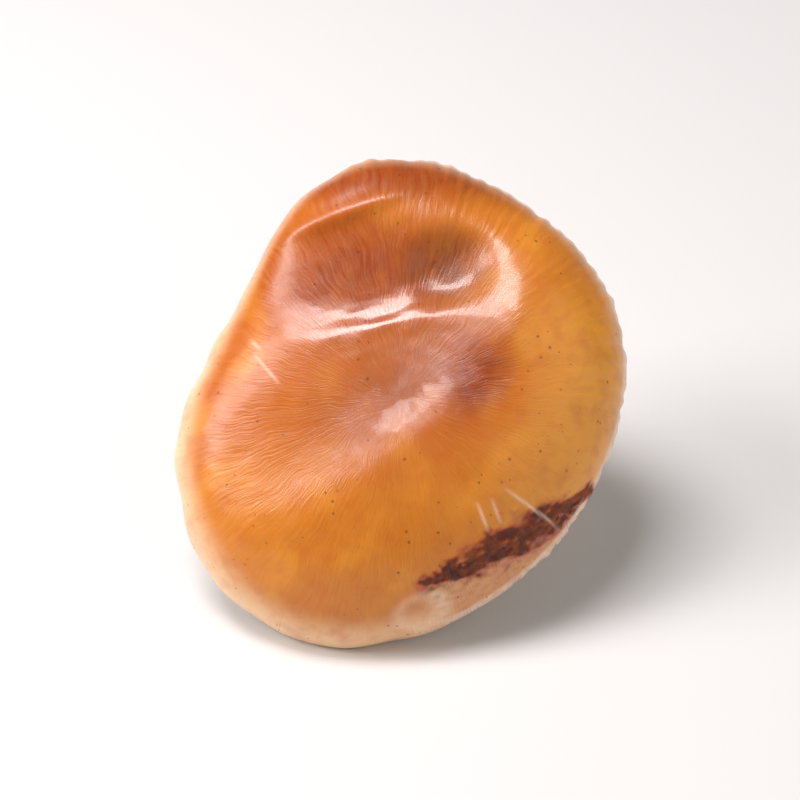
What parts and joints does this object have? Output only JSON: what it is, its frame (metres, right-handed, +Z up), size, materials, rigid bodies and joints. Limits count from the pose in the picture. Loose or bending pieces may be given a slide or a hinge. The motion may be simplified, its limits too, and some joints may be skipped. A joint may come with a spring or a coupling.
{
  "type": "amber-capped gilled mushroom",
  "caption": "Picked mushroom with a glossy, dented amber cap, a rolled margin, cream gills and a short curved stem, lying on its cap rim and cut stem end.",
  "frame": {"origin": "on the table, under the middle of the mushroom's bounding box", "axes": "+Z up from the table; +X across the cap, to the right of someone who faces its crown; -Y the side that the crown faces. The stem slopes down behind the cap, towards +Y"},
  "size_m": [0.061, 0.0492, 0.0491],
  "materials": {
    "cap_skin": "moist, glossy amber skin, stands in for fresh mushroom cap",
    "gill_flesh": "matte cream gills, stands in for fresh mushroom flesh",
    "stem_flesh": "matte, finely fibrous cream stem, stands in for fresh mushroom flesh"
  },
  "bodies": {
    "root": {"cap": "cap_skin", "gills": "gill_flesh", "stem": "stem_flesh"}
  },
  "joints": []
}
